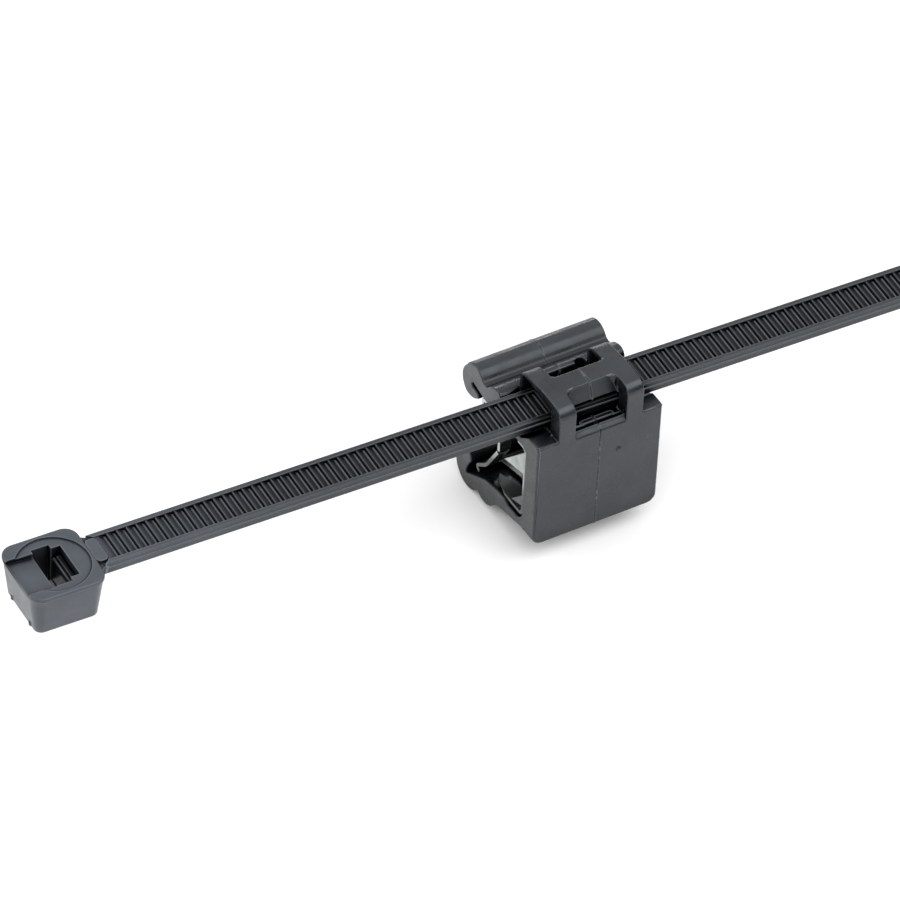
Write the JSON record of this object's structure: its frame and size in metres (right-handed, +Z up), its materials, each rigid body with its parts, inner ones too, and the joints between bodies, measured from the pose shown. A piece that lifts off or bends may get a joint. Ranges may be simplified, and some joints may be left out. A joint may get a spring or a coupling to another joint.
{
  "type": "edge clip cable tie mount",
  "caption": "Edge clip for a panel: a nylon body with a sprung steel insert and a cable tie threaded through the saddle on top.",
  "frame": {"origin": "middle of the inner face of the clamp's web, where the panel's edge stops", "axes": "+X along the clip and towards the tail of the tie, +Y out of the mouth that takes the panel, +Z up towards the saddle"},
  "size_m": [0.2, 0.0178, 0.0197],
  "materials": {
    "nylon": "satin, moulded nylon",
    "spring_steel": "galvanised sheet"
  },
  "bodies": {
    "clip": {"clip_body": "nylon", "spring_clamp": "spring_steel"},
    "tie": {"cable_tie": "nylon"}
  },
  "joints": [
    {"name": "strap_slide", "type": "slide", "parent": "clip", "child": "tie", "axis": [0.9991, -0.0419, 0], "range_m": [-0.13, 0.0465]}
  ]
}
